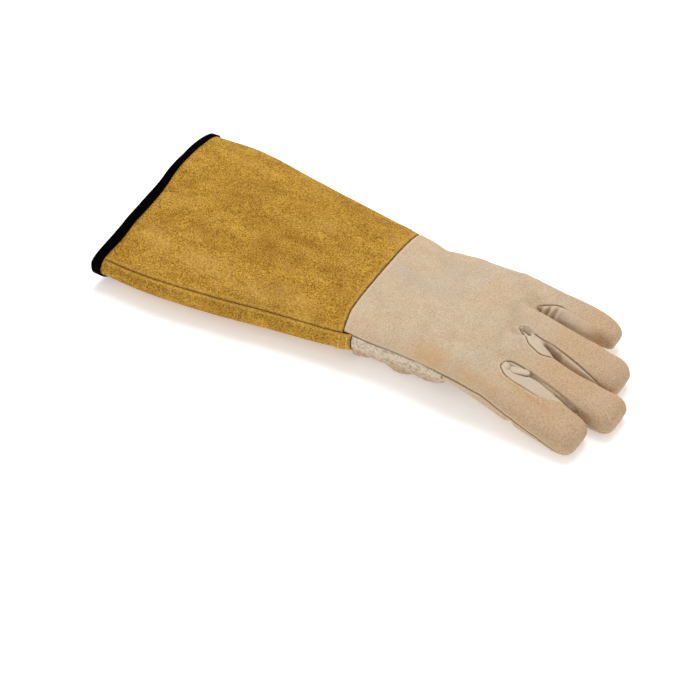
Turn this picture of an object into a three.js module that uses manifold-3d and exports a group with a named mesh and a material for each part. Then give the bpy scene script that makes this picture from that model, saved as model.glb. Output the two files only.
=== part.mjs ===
// A left-hand fireplace glove with a long gauntlet cuff, lying palm down on a table with its thumb folded under
// the palm. Every piece of leather is a thin wall of its own, and the glove is open inside up to its fingertips:
// two cuff panels and their edge binding, the one-piece back, the palm with the little finger's front, the fronts
// of the other three fingers, the side strips between the fingers, and the two halves of the thumb.
//
// Millimetres, +Z up. While it is modelled, X runs from the cuff's opening to the fingertips, Y from the thumb's
// side to the little finger's side, and Z up from the table. The group is then moved so that its origin is the
// middle of its footprint.
import * as THREE from "three";
import Module from "manifold-3d";
import { mergeVertices } from "three/addons/utils/BufferGeometryUtils.js";

const wasm = await Module();
wasm.setup();

// Driving dimensions.
const HAND_WALL = 1.6; // grain pigskin of the hand
const CUFF_WALL = 1.8; // split cowhide of the cuff
const SEAM_GAP = 0.3; // between two pieces that are sewn together
const CUFF_LENGTH = 202; // opening to the seam across the back
const PANEL_END = 210; // both leathers are made past this and cut to the cuff's edge
const HAND_START = 172; // the hand's body is made from here, and its inside from a little before
const BINDING_WIDTH = 8.5;
const BINDING_WALL = 1.2;
const BINDING_FOLD = { shoulder: 1.1, crown: 1.4 }; // how far the folded tape reaches out past the edge
const BINDING_LIFT = { from: 12, to: 32 }; // behind the tape the cuff comes down to the table over this length
const SQUARENESS = { cuff: 2.7, finger: 2.7, ball: 3, thumb: 2.5 }; // exponent of the rounded sections

// The cuff and hand: each row is a section across the glove. rise and drop are measured from the middle of its
// thickness. A drop that would reach below the table lies flat on it.
const BODY = [
  { x: 0, yThumb: -84.5, yLittle: 88, rise: 15, drop: 19 },
  { x: 45, yThumb: -85.5, yLittle: 89, rise: 16.5, drop: 20.5 },
  { x: 100, yThumb: -80, yLittle: 82, rise: 18, drop: 21 },
  { x: 150, yThumb: -72, yLittle: 75, rise: 17.5, drop: 21 },
  { x: 202, yThumb: -66, yLittle: 68, rise: 16.5, drop: 18 },
  { x: 235, yThumb: -62, yLittle: 62, rise: 15, drop: 9 },
  { x: 265, yThumb: -63, yLittle: 63.5, rise: 14, drop: 8 },
  { x: 306, yThumb: -64, yLittle: 66, rise: 12.4, drop: 8 },
  { x: 318, yThumb: -61, yLittle: 64, rise: 7, drop: 5 },
];
const SLANT = { shift: 2, length: 80 }; // the opening leans: its thumb's side reaches further out
const WEB_BEND = { start: 284, length: 34 }; // over this the body's end bends to the line between the fingers

// The height of the middle of the glove's thickness, on the thumb's side and the little finger's side.
const SIDES = { thumb: -65, little: 67 };
const MIDDLE = [
  { x: 0, thumb: 19, little: 19 },
  { x: 150, thumb: 20, little: 19.4 },
  { x: 202, thumb: 22, little: 19 },
  { x: 235, thumb: 27, little: 21 },
  { x: 265, thumb: 29, little: 23 },
  { x: 305, thumb: 27.5, little: 22.5 },
  { x: 350, thumb: 18.5, little: 17 },
  { x: 388, thumb: 11.2, little: 11.2 },
  { x: 420, thumb: 9.5, little: 9.5 },
];

// The fingers: root and tip of the centreline in plan, and half the width there.
const FINGERS = [
  { name: "index", rootX: 296, rootY: -47.5, tipX: 400, tipY: -55.5, rootHalf: 15.3, tipHalf: 16.2 },
  { name: "middle", rootX: 296, rootY: -15.5, tipX: 415, tipY: -21, rootHalf: 15.3, tipHalf: 16.2 },
  { name: "ring", rootX: 296, rootY: 17, tipX: 402, tipY: 12, rootHalf: 15.3, tipHalf: 15.8 },
  { name: "little", rootX: 292, rootY: 49, tipX: 380, tipY: 46.5, rootHalf: 15, tipHalf: 13.6 },
];
// Between two fingers the side strip comes up over the far finger's near edge, which slopes there: its width in
// plan, from the web to where it has gone under.
const STRIP_TOP = {
  middle: [
    { x: 323, width: 5 },
    { x: 342, width: 7 },
    { x: 362, width: 6.5 },
    { x: 382, width: 2.5 },
    { x: 394, width: 0.5 },
  ],
  ring: [
    { x: 317, width: 5 },
    { x: 333, width: 7 },
    { x: 352, width: 7.5 },
    { x: 376, width: 3 },
    { x: 391, width: 0.5 },
  ],
  little: [
    { x: 316, width: 3.5 },
    { x: 325, width: 9 },
    { x: 341, width: 12 },
    { x: 359, width: 9 },
    { x: 371, width: 4 },
  ],
};
const STRIP_SLOPE = { squareness: 1.5, from: 300, to: 400 }; // that edge's section, and where it becomes square again
const FINGER_ROOT = { rise: 10.5, drop: 7.4, length: 40 };
const FINGER_RISE = 11.4;
const FINGER_DROP = 10.6;
const FINGER_TIP = { round: 15, width: 0.6, height: 0.2, squareness: 2.4 }; // width and height are what its end keeps
const STRIP_START = 304; // the side strips begin inside the web
const STRIP_STOP = 9; // and end this far before the tips
const WEB = [
  // where the web between the fingers ends, across the hand
  { y: -64, x: 332 },
  { y: -32, x: 325 },
  { y: 0, x: 319 },
  { y: 34, x: 316 },
  { y: 68, x: 320 },
];

// How far the back's seam lies above the middle of the thickness, and the fronts' seam below it. Both meet it at
// the fingertips, but for a band that is left between them.
const SEAM_RISE = [
  { x: 202, thumb: 8, little: 4.2 },
  { x: 208, thumb: 8, little: 4.4 },
  { x: 238, thumb: 3, little: 3.5 },
  { x: 420, thumb: 2, little: 3 },
];
const FRONT_SEAM_DROP = 4.5;
const TIP_BAND = 1;
const TIP_SEAM = { before: 3, length: 26 }; // the seams come together over this length before the tips

// The ball of the thumb, and the thumb that is folded under the palm: sections along a centreline in plan.
const BALL = [
  { x: 204, y: -32, half: 29, low: 2, high: 36 },
  { x: 228, y: -33.5, half: 28.3, low: 0.5, high: 38 },
  { x: 252, y: -41, half: 20, low: 1.5, high: 38 },
  { x: 273, y: -49.5, half: 11, low: 7, high: 37 },
  { x: 285, y: -53, half: 7.5, low: 13.5, high: 34 },
  { x: 295, y: -54.5, half: 4.5, low: 20, high: 32 },
];
const THUMB = [
  { x: 226, y: -32, half: 20, low: 1, high: 12 },
  { x: 246, y: -20, half: 24, low: 0, high: 13.4 },
  { x: 276, y: 2, half: 24.5, low: 0, high: 13.8 },
  { x: 302, y: 19, half: 22, low: 0, high: 13 },
];
const THUMB_TIP = { part: 0.25, width: 0.62, height: 0.3, squareness: 2.6 };
const THUMB_SEAM = 6.8; // height of the seam between the thumb's two halves

// Seams that run along lines in plan, as corners [x, y].
const CUFF_EDGE = [[206, -100], [206, 3], [195, 7], [184, 10], [182, 14], [185, 21], [190, 34], [195, 100]];
const PALM_SEAM = [
  // between the palm and the ball of the thumb
  [203, 4], [226, -2], [240, -9], [256, -22], [270, -35], [284, -42], [288, -48], [291, -56], [292, -80],
];
const INDEX_BASE = [[288, -48], [322, -31], [332, -33]];
const MIDDLE_BASE = [[322, -31], [327, -15], [321, 1], [329, 0.5]];
const RING_BASE = [[321, 1], [323, 17], [317, 34], [325, 33.5]];

// How finely the surfaces are divided.
const AROUND = { hand: 28, finger: 12, ball: 14, thumb: 14 };
const HAND_RINGS = 10;
const BALL_RINGS = 8;
const THUMB_RINGS = [0, 0.22, 0.45, 0.7, 0.86, 0.96, 1];
const CUFF_COLUMNS = { back: 14, palm: 20 };
const CUFF_ROWS = [SEAM_GAP, BINDING_LIFT.from, BINDING_LIFT.to, 62, 95, 130, 165, CUFF_LENGTH];

const LEATHER = new THREE.MeshStandardMaterial({ color: 0xd8bfa2, roughness: 0.85, metalness: 0 });
const SPLIT = new THREE.MeshStandardMaterial({ color: 0xb98a34, roughness: 0.95, metalness: 0 });
const TAPE = new THREE.MeshStandardMaterial({ color: 0x0c0c0d, roughness: 0.9, metalness: 0 });

// Number helpers.
const mix = (a, b, t) => a + (b - a) * t;
const ease = (t) => {
  const s = Math.min(1, Math.max(0, t));
  return s * s * (3 - 2 * s);
};
const power = (v, p) => Math.sign(v) * Math.abs(v) ** p;

// A row of the table between its rows, on a smooth curve through them, for the value of its key column.
function rowAt(table, key, value) {
  const v = Math.min(Math.max(value, table[0][key]), table.at(-1)[key]);
  let i = 0;
  while (i < table.length - 2 && v > table[i + 1][key]) i++;
  const slope = (k, column) => {
    const a = table[Math.max(k - 1, 0)];
    const b = table[Math.min(k + 1, table.length - 1)];
    return (b[column] - a[column]) / (b[key] - a[key]);
  };
  const a = table[i];
  const b = table[i + 1];
  const step = b[key] - a[key];
  const t = (v - a[key]) / step;
  const made = {};
  for (const column of Object.keys(a)) {
    if (typeof a[column] !== "number") continue;
    const h = t * t * (3 - 2 * t);
    const bend = t * (1 - t) * step;
    made[column] = mix(a[column], b[column], h) + bend * ((1 - t) * slope(i, column) - t * slope(i + 1, column));
  }
  return made;
}

// The height of the middle of the glove's thickness anywhere in plan.
function middle(x, y) {
  const row = rowAt(MIDDLE, "x", x);
  return mix(row.thumb, row.little, (y - SIDES.thumb) / (SIDES.little - SIDES.thumb));
}

// A rounded section's point: angle 0 is the little finger's side, 90 degrees the top.
function rounded(angle, half, rise, drop, squareness) {
  const height = Math.sin(angle) > 0 ? rise : drop;
  return [half * power(Math.cos(angle), 2 / squareness), height * power(Math.sin(angle), 2 / squareness)];
}

// A closed solid through rings of points that are turned the same way, with flat ends.
function loft(rings) {
  const count = rings[0].length;
  const points = rings.flat();
  const index = [];
  for (let r = 0; r < rings.length - 1; r++)
    for (let i = 0; i < count; i++) {
      const a = r * count + i;
      const b = r * count + ((i + 1) % count);
      index.push(a, b, b + count, a, b + count, a + count);
    }
  for (const [ring, flip] of [[0, true], [rings.length - 1, false]]) {
    const centre = points.length;
    const sum = new THREE.Vector3();
    rings[ring].forEach((p) => sum.add(p));
    points.push(sum.divideScalar(count));
    for (let i = 0; i < count; i++) {
      const a = ring * count + i;
      const b = ring * count + ((i + 1) % count);
      index.push(...(flip ? [centre, b, a] : [centre, a, b]));
    }
  }
  const geometry = new THREE.BufferGeometry().setFromPoints(points);
  return geometry.setIndex(index);
}

// A closed wall between two surfaces over the same grid, such as a panel of leather.
function wall(outer, inner, columns, rows) {
  const points = [];
  for (const side of [outer, inner])
    for (let r = 0; r <= rows; r++) for (let c = 0; c <= columns; c++) points.push(side(c / columns, r / rows));
  const at = (side, c, r) => side * (columns + 1) * (rows + 1) + r * (columns + 1) + c;
  const index = [];
  const quad = (a, b, c, d) => index.push(a, b, c, a, c, d);
  for (let r = 0; r < rows; r++)
    for (let c = 0; c < columns; c++) {
      quad(at(0, c, r), at(0, c + 1, r), at(0, c + 1, r + 1), at(0, c, r + 1));
      quad(at(1, c, r), at(1, c, r + 1), at(1, c + 1, r + 1), at(1, c + 1, r));
    }
  for (let c = 0; c < columns; c++) {
    quad(at(0, c, 0), at(1, c, 0), at(1, c + 1, 0), at(0, c + 1, 0));
    quad(at(0, c, rows), at(0, c + 1, rows), at(1, c + 1, rows), at(1, c, rows));
  }
  for (let r = 0; r < rows; r++) {
    quad(at(0, 0, r), at(0, 0, r + 1), at(1, 0, r + 1), at(1, 0, r));
    quad(at(0, columns, r), at(1, columns, r), at(1, columns, r + 1), at(0, columns, r + 1));
  }
  return new THREE.BufferGeometry().setFromPoints(points).setIndex(index);
}

// A geometry as a manifold-3d solid, and back as a named mesh.
function solid(geometry) {
  const bare = geometry.clone();
  bare.deleteAttribute("normal");
  bare.deleteAttribute("uv");
  const merged = mergeVertices(bare, 1e-4);
  const made = new wasm.Manifold(
    new wasm.Mesh({
      numProp: 3,
      vertProperties: new Float32Array(merged.attributes.position.array),
      triVerts: new Uint32Array(merged.index.array),
    }),
  );
  if (made.volume() < 0) throw new Error("a solid is inside out");
  return made;
}

const glove = new THREE.Group();
function piece(name, made, material) {
  const { vertProperties, triVerts, numProp } = made.getMesh();
  if (numProp !== 3) throw new Error(name + " has extra values on its vertices");
  const geometry = new THREE.BufferGeometry();
  geometry.setAttribute("position", new THREE.BufferAttribute(new Float32Array(vertProperties), 3));
  geometry.setIndex(new THREE.BufferAttribute(new Uint32Array(triVerts), 1));
  const mesh = new THREE.Mesh(geometry, material);
  mesh.name = name;
  glove.add(mesh);
}

// Solids that cut the others: a block in plan, and all that lies above a surface.
const CUT = { x0: 170, x1: 430, y0: -100, y1: 100, bottom: -5, top: 80, columns: 20, rows: 7 };
function block(outline, low, high) {
  const shape = new THREE.Shape(outline.map(([x, y]) => new THREE.Vector2(x, y)));
  const made = new THREE.ExtrudeGeometry(shape, { depth: high - low, bevelEnabled: false });
  return solid(made.translate(0, 0, low));
}

const rectangle = (x0, y0, x1, y1) => [[x0, y0], [x1, y0], [x1, y1], [x0, y1]];

// All that lies beyond the palm side's edge of the cuff, with a gap to it.
function pastCuffEdge(gap) {
  return block([...CUFF_EDGE.map(([x, y]) => [x + gap, y]), [CUT.x1, CUT.y1], [CUT.x1, CUT.y0]], CUT.bottom, CUT.top);
}

function above(height) {
  const point = (lift) => (u, v) => {
    const x = mix(CUT.x0, CUT.x1, u);
    const y = mix(CUT.y0, CUT.y1, v);
    return new THREE.Vector3(x, y, lift ? CUT.top : height(x, y));
  };
  return solid(wall(point(true), point(false), CUT.columns, CUT.rows));
}

// Where the back's leather ends on the sides of the hand and fingers: higher on the thumb's side, and in the
// middle of the thickness at the fingertips.
const tipTable = FINGERS.map((f) => ({ y: f.tipY, x: f.tipX }));
function toTip(x, y) {
  return ease((rowAt(tipTable, "y", y).x - TIP_SEAM.before - x) / TIP_SEAM.length);
}
const backSeam = (x, y) => {
  const rise = rowAt(SEAM_RISE, "x", x);
  const across = ease((y - SIDES.thumb) / (SIDES.little - SIDES.thumb));
  return middle(x, y) + mix(rise.thumb, rise.little, across) * toTip(x, y) + TIP_BAND / 2;
};
const frontSeam = (x, y) => middle(x, y) - FRONT_SEAM_DROP * toTip(x, y) - TIP_BAND / 2;

// The angle of a seam on the cuff, on its thumb side and its little finger side.
const THUMB_SEAM_ANGLE = THREE.MathUtils.degToRad(180 - 22);
const LITTLE_SEAM_ANGLE = THREE.MathUtils.degToRad(12);
const SEAM_TILT = 1.2; // the side seams slope, so the gap in them is a little longer when it is measured upright
const TURN = 2 * Math.PI;

// A point of the cuff and hand's outer surface, or inset from it.
function bodyPoint(x, angle, inset) {
  const row = rowAt(BODY, "x", x);
  const half = (row.yLittle - row.yThumb) / 2 - inset;
  const [across, up] = rounded(angle, half, row.rise - inset, row.drop - inset, SQUARENESS.cuff);
  const y = (row.yLittle + row.yThumb) / 2 + across;
  // The underside lies flat on the table, and the binding's tape lifts it a little at the opening.
  const down = (BINDING_LIFT.to - x) / (BINDING_LIFT.to - BINDING_LIFT.from);
  const lift = (SEAM_GAP + BINDING_WALL) * ease(down);
  const leant = x + SLANT.shift * (y / row.yLittle) * (1 - ease(x / SLANT.length));
  return new THREE.Vector3(leant, y, Math.max(middle(x, y) + up, inset + lift));
}

// Cuff: two panels of split leather, sewn together along both sides.
function cuffPanel(from, to, stations, columns) {
  const gap = (SEAM_GAP / 2) * SEAM_TILT * Math.sign(Math.sin((from + to) / 2));
  const side = (inset) => (u, v) => {
    const x = stations[Math.round(v * (stations.length - 1))];
    const p = bodyPoint(x, mix(from, to, u), inset);
    if (u === 0 || u === 1) p.z += gap;
    return p;
  };
  return solid(wall(side(0), side(CUFF_WALL), columns, stations.length - 1));
}

function makeCuff() {
  piece("cuff_back", cuffPanel(LITTLE_SEAM_ANGLE, THUMB_SEAM_ANGLE, CUFF_ROWS, CUFF_COLUMNS.back), SPLIT);
  const rows = [...CUFF_ROWS, PANEL_END];
  const palm = cuffPanel(THUMB_SEAM_ANGLE, LITTLE_SEAM_ANGLE + TURN, rows, CUFF_COLUMNS.palm);
  piece("cuff_palm", palm.subtract(pastCuffEdge(0)), SPLIT);
}

// Binding: a tape folded round the edge of the opening.
function makeBinding() {
  const out = SEAM_GAP + BINDING_WALL;
  const into = CUFF_WALL + SEAM_GAP + BINDING_WALL;
  const profile = [
    [BINDING_WIDTH, -SEAM_GAP],
    [BINDING_WIDTH, -out],
    [0, -out],
    [-BINDING_FOLD.shoulder, -out * 0.4],
    [-BINDING_FOLD.crown, CUFF_WALL / 2],
    [-BINDING_FOLD.shoulder, into - out * 0.6],
    [0, into],
    [BINDING_WIDTH, into],
    [BINDING_WIDTH, into - BINDING_WALL],
    [0, CUFF_WALL + SEAM_GAP],
    [0, -SEAM_GAP],
  ];
  const angles = [];
  for (let i = 0; i < CUFF_COLUMNS.back; i++) {
    angles.push(mix(LITTLE_SEAM_ANGLE, THUMB_SEAM_ANGLE, i / CUFF_COLUMNS.back));
  }
  for (let i = 0; i < CUFF_COLUMNS.palm; i++) {
    angles.push(mix(THUMB_SEAM_ANGLE, LITTLE_SEAM_ANGLE + TURN, i / CUFF_COLUMNS.palm));
  }
  const turns = angles.length;
  const points = [];
  for (const angle of angles)
    for (const [x, inset] of profile) {
      const p = bodyPoint(Math.max(x, 0), angle, inset);
      p.x += Math.min(x, 0);
      points.push(p);
    }
  const index = [];
  for (let t = 0; t < turns; t++)
    for (let k = 0; k < profile.length; k++) {
      const next = (k + 1) % profile.length;
      const a = t * profile.length;
      const b = ((t + 1) % turns) * profile.length;
      index.push(a + k, b + next, b + k, a + k, a + next, b + next);
    }
  piece("cuff_binding", solid(new THREE.BufferGeometry().setFromPoints(points).setIndex(index)), TAPE);
}

// Hand: a hollow body, four fingers, the ball of the thumb and the thumb, joined and then cut along the seams.
const webTurn = (x) => ease((x - WEB_BEND.start) / WEB_BEND.length);

function handBody(inset, start) {
  const end = BODY.at(-1).x - inset;
  const made = [];
  for (let r = 0; r <= HAND_RINGS; r++) {
    const x = mix(start, end, r / HAND_RINGS);
    const ring = [];
    for (let i = 0; i < AROUND.hand; i++) {
      const p = bodyPoint(x, (i / AROUND.hand) * TURN, inset);
      p.x += (rowAt(WEB, "y", p.y).x - BODY.at(-1).x) * webTurn(x);
      ring.push(p);
    }
    made.push(ring);
  }
  return solid(loft(made));
}

// A ring across a centreline at (x, y) that heads along (dx, dy), no lower than the floor. The upper quarter on the
// thumb's side may have a squareness of its own.
function crossRing(x, y, dx, dy, middleHeight, half, rise, drop, squareness, around, floor, near = squareness) {
  const ring = [];
  for (let i = 0; i < around; i++) {
    const angle = (i / around) * TURN;
    const sloped = Math.cos(angle) < 0 && Math.sin(angle) > 0;
    const [across, up] = rounded(angle, half, rise, drop, sloped ? near : squareness);
    ring.push(new THREE.Vector3(x - dy * across, y + dx * across, Math.max(middleHeight + up, floor)));
  }
  return ring;
}

// How much of its width and height a rounded end keeps, at this part of the way back from its tip.
const roundEnd = (part, squareness) => (1 - (1 - Math.min(1, part)) ** squareness) ** (1 / squareness);

// Half of a finger's width, at this part of the way to its tip.
const halfWidth = (f, part) => mix(f.rootHalf, f.tipHalf, ease(part / 0.75));

function finger(f, inset) {
  const dx = f.tipX - f.rootX;
  const dy = f.tipY - f.rootY;
  const length = Math.hypot(dx, dy);
  const stations = [0, 20, length * 0.45, length * 0.7];
  for (const part of [1, 0.5, 0.18, 0]) stations.push(length - FINGER_TIP.round * part);
  const rings = stations.map((s) => {
    const round = roundEnd((length - s) / FINGER_TIP.round, FINGER_TIP.squareness);
    const fromRoot = ease(s / FINGER_ROOT.length);
    const half = halfWidth(f, s / length) * mix(FINGER_TIP.width, 1, round);
    const rise = mix(FINGER_ROOT.rise, FINGER_RISE, fromRoot) * mix(FINGER_TIP.height, 1, round);
    const drop = mix(FINGER_ROOT.drop, FINGER_DROP, fromRoot) * mix(FINGER_TIP.height, 1, round);
    const along = Math.min(s, length - inset) / length;
    const x = f.rootX + dx * along;
    const y = f.rootY + dy * along;
    const thin = Math.min(inset, rise - 0.5);
    const low = Math.min(inset, drop - 0.5);
    const square = ease((x - STRIP_SLOPE.from) / (STRIP_SLOPE.to - STRIP_SLOPE.from));
    const near = STRIP_TOP[f.name] ? mix(STRIP_SLOPE.squareness, SQUARENESS.finger, square) : SQUARENESS.finger;
    return crossRing(x, y, dx / length, dy / length, middle(x, y), half - inset, rise - thin, drop - low,
      SQUARENESS.finger, AROUND.finger, inset, near);
  });
  return solid(loft(rings));
}

function ball(inset) {
  const rings = [];
  for (let r = 0; r <= BALL_RINGS; r++) {
    const row = rowAt(BALL, "x", mix(BALL[0].x, BALL.at(-1).x, r / BALL_RINGS));
    const height = (row.high - row.low) / 2 - inset;
    const x = r === BALL_RINGS ? row.x - inset : row.x;
    rings.push(crossRing(x, row.y, 1, 0, (row.high + row.low) / 2, row.half - inset, height, height,
      SQUARENESS.ball, AROUND.ball, inset));
  }
  return solid(loft(rings));
}

function thumb(inset) {
  const rings = [];
  for (const s of THUMB_RINGS) {
    const row = rowAt(THUMB, "x", mix(THUMB[0].x, THUMB.at(-1).x, s));
    const ahead = rowAt(THUMB, "x", row.x + 4);
    const behind = rowAt(THUMB, "x", row.x - 4);
    const way = new THREE.Vector2(ahead.x - behind.x, ahead.y - behind.y).normalize();
    const round = roundEnd((1 - s) / THUMB_TIP.part, THUMB_TIP.squareness);
    const half = row.half * mix(THUMB_TIP.width, 1, round) - inset;
    const height = ((row.high - row.low) / 2) * mix(THUMB_TIP.height, 1, round);
    const back = s === 1 ? inset : 0;
    const thin = Math.min(inset, height - 0.5);
    rings.push(crossRing(row.x - way.x * back, row.y - way.y * back, way.x, way.y, (row.high + row.low) / 2, half,
      height - thin, height - thin, SQUARENESS.thumb, AROUND.thumb, inset));
  }
  return solid(loft(rings));
}

// The hand without the thumb.
function handSolid(inset) {
  let made = handBody(inset, inset > 0 ? HAND_START - 6 : HAND_START);
  for (const f of FINGERS) made = made.add(finger(f, inset));
  return made.add(ball(inset));
}

// A seam that runs along a line in plan: a thin upright sheet to cut with.
function seamSheet(line) {
  let made = null;
  for (let i = 0; i < line.length - 1; i++) {
    const a = new THREE.Vector2(...line[i]);
    const b = new THREE.Vector2(...line[i + 1]);
    const way = b.clone().sub(a).normalize();
    const side = new THREE.Vector2(-way.y, way.x).multiplyScalar(SEAM_GAP / 2);
    a.addScaledVector(way, -SEAM_GAP / 2);
    b.addScaledVector(way, SEAM_GAP / 2);
    const outline = [a.clone().sub(side), b.clone().sub(side), b.clone().add(side), a.clone().add(side)];
    const sheet = block(outline.map((p) => [p.x, p.y]), CUT.bottom, CUT.top);
    made = made ? made.add(sheet) : sheet;
  }
  return made;
}

// Where a finger's centreline is in plan, at this x.
const centreAt = (f, x) => mix(f.rootY, f.tipY, (x - f.rootX) / (f.tipX - f.rootX));

// The side strip between two neighbouring fingers lies in this area, up to both fingers' tips.
function gapArea(a, b) {
  const start = STRIP_START;
  const [endA, endB] = [a.tipX - STRIP_STOP, b.tipX - STRIP_STOP];
  const between = (x) => (centreAt(a, x) + centreAt(b, x)) / 2;
  return [
    [start, centreAt(a, start)], [endA, centreAt(a, endA)], [endA, between(endA)],
    [endB, between(endB)], [endB, centreAt(b, endB)], [start, centreAt(b, start)],
  ];
}

// The area in plan where the side strip before finger b comes up on it.
function stripTop(a, b, gap) {
  const rows = STRIP_TOP[b.name];
  const edge = (x) => centreAt(b, x) - halfWidth(b, (x - b.rootX) / (b.tipX - b.rootX));
  const shift = (i) => (i === 0 ? -gap : i === rows.length - 1 ? gap : 0);
  const near = rows.map(({ x }, i) => [x + shift(i), (centreAt(a, x) + centreAt(b, x)) / 2]);
  const far = rows.map(({ x, width }, i) => [x + shift(i), edge(x) + width + gap]);
  return block([...near, ...far.reverse()], CUT.bottom, CUT.top);
}

// Of the parts that a cut leaves, the smallest one that reaches over a point in plan.
function smallestAt(parts, x, y) {
  const over = parts.filter((part) => {
    const { min, max } = part.boundingBox();
    return min[0] < x && max[0] > x && min[1] < y && max[1] > y && part.volume() > 1;
  });
  return over.sort((a, b) => a.volume() - b.volume())[0];
}

function makeHand() {
  const half = SEAM_GAP / 2;
  const hand = handSolid(0);
  const hollow = handSolid(HAND_WALL);
  const thumbHollow = thumb(HAND_WALL);
  const shell = hand.subtract(hollow).subtract(thumbHollow);
  const backArea = block(rectangle(CUFF_LENGTH + SEAM_GAP, CUT.y0, CUT.x1, CUT.y1), CUT.bottom, CUT.top);
  let back = shell.intersect(above((x, y) => backSeam(x, y) + half)).intersect(backArea);
  let rest = shell.subtract(above((x, y) => backSeam(x, y) - half)).intersect(pastCuffEdge(SEAM_GAP));
  for (let i = 0; i < 3; i++) {
    const [a, b] = [FINGERS[i], FINGERS[i + 1]];
    back = back.subtract(stripTop(a, b, SEAM_GAP));
    rest = rest.add(shell.intersect(stripTop(a, b, 0)));
  }
  piece("hand_back", back, LEATHER);

  const aboveFront = above((x, y) => frontSeam(x, y) - half);
  const frontKerf = aboveFront.subtract(above((x, y) => frontSeam(x, y) + half));
  for (let i = 0; i < 3; i++) {
    const [a, b] = [FINGERS[i], FINGERS[i + 1]];
    const area = gapArea(a, b);
    rest = rest.subtract(block(area, CUT.bottom, CUT.top).intersect(frontKerf));
    for (const end of [area.slice(1, 3), area.slice(3, 5)]) rest = rest.subtract(seamSheet(end).intersect(aboveFront));
    const strip = smallestAt(rest.decompose(), 340, (centreAt(a, 340) + centreAt(b, 340)) / 2);
    piece(`fourchette_${a.name}_${b.name}`, strip, LEATHER);
    rest = rest.subtract(strip);
  }
  for (const seam of [INDEX_BASE, MIDDLE_BASE, RING_BASE, PALM_SEAM]) rest = rest.subtract(seamSheet(seam));
  const parts = rest.decompose();
  for (const f of FINGERS.slice(0, 3)) piece(`${f.name}_front`, smallestAt(parts, 350, centreAt(f, 350)), LEATHER);
  piece("palm_front", parts.sort((a, b) => b.volume() - a.volume())[0], LEATHER);

  const thumbShell = thumb(0).subtract(thumbHollow);
  const wide = rectangle(CUT.x0, CUT.y0, CUT.x1, CUT.y1);
  const lower = thumbShell.intersect(block(wide, CUT.bottom, THUMB_SEAM - half)).subtract(hollow);
  const upper = thumbShell.intersect(block(wide, THUMB_SEAM + half, CUT.top)).subtract(handSolid(-SEAM_GAP));
  piece("thumb_outer", smallestAt(parts, 240, -40).add(lower), LEATHER);
  piece("thumb_inner", upper, LEATHER);
}

makeCuff();
makeBinding();
makeHand();

const box = new THREE.Box3().setFromObject(glove);
const centre = box.getCenter(new THREE.Vector3());
glove.position.set(-centre.x, -centre.y, -box.min.z);

export default glove;
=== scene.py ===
# A left-hand fireplace glove with a long gauntlet cuff, lying palm down on a table with its thumb folded under the
# palm. The cuff is golden split cowhide with a black tape round its opening, and the hand is pale grain pigskin,
# sewn inside out from a one-piece back, a palm, finger fronts and the side strips between the fingers.
import math
from functools import partial

import bmesh
import bpy
import numpy as np
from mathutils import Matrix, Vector, noise
from mathutils.bvhtree import BVHTree
from mathutils.kdtree import KDTree


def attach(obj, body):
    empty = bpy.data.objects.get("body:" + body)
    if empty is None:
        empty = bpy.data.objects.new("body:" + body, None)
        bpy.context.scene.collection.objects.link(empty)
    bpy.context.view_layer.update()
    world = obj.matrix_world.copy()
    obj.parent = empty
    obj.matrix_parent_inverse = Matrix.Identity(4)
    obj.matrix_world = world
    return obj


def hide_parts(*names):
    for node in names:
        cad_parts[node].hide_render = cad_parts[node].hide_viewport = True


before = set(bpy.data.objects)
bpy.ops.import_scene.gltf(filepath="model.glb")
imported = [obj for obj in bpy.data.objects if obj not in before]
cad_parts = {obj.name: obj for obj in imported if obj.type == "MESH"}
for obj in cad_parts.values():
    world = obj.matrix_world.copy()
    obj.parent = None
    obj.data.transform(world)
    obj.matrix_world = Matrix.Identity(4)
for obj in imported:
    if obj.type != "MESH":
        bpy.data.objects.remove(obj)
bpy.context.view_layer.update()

# Camera: it looks down at the back of the glove from the thumb's side, turned 30 degrees towards the fingertips and
# 45 degrees up, from 1.9 m away.
AIM = Vector((-0.00094, -0.05002, 0))
AZIMUTH = math.radians(30)
ELEVATION = math.radians(45)
DISTANCE = 1.9
SENSOR = 36
LENS = 130.1

bpy.ops.object.select_all(action="DESELECT")
bpy.ops.object.camera_add()
camera = bpy.context.object
towards_camera = Vector((
    math.sin(AZIMUTH) * math.cos(ELEVATION),
    -math.cos(AZIMUTH) * math.cos(ELEVATION),
    math.sin(ELEVATION),
))
camera.location = AIM + towards_camera * DISTANCE
camera.rotation_euler = (-towards_camera).to_track_quat("-Z", "Y").to_euler()
camera.data.sensor_width = SENSOR
camera.data.lens = LENS
camera.data.clip_end = 50
bpy.context.scene.camera = camera
bpy.context.scene.view_settings.view_transform = "Standard"

# Table and light: a white studio sweep, one wide soft box above and behind the glove, a weaker one on the near
# side, and an even white surround. The sweep also glows faintly, a painted light in place of light from below,
# so that the shadows are short and faint.


def linear(hex_colour):
    """An sRGB hex colour as the linear values that the nodes take."""
    made = []
    for i in (1, 3, 5):
        c = int(hex_colour[i : i + 2], 16) / 255
        made.append(c / 12.92 if c <= 0.04045 else ((c + 0.055) / 1.055) ** 2.4)
    return (*made, 1)


def new_material(name, roughness, specular):
    """A material with nothing but its output and its surface, and that surface."""
    made = bpy.data.materials.new(name)
    made.use_nodes = True
    surface = made.node_tree.nodes["Principled BSDF"]
    surface.inputs["Roughness"].default_value = roughness
    surface.inputs["Specular IOR Level"].default_value = specular
    return made, surface


# White paint: matt and even, with a faint painted glow of its own that lightens the shadows on it.
glowing_white_sweep, surface = new_material("white_studio_sweep_painted_glow", 0.9, 0.1)
surface.inputs["Base Color"].default_value = linear("#FBFBFA")
surface.inputs["Emission Color"].default_value = linear("#FFFFFF")
surface.inputs["Emission Strength"].default_value = 0.3

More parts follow.
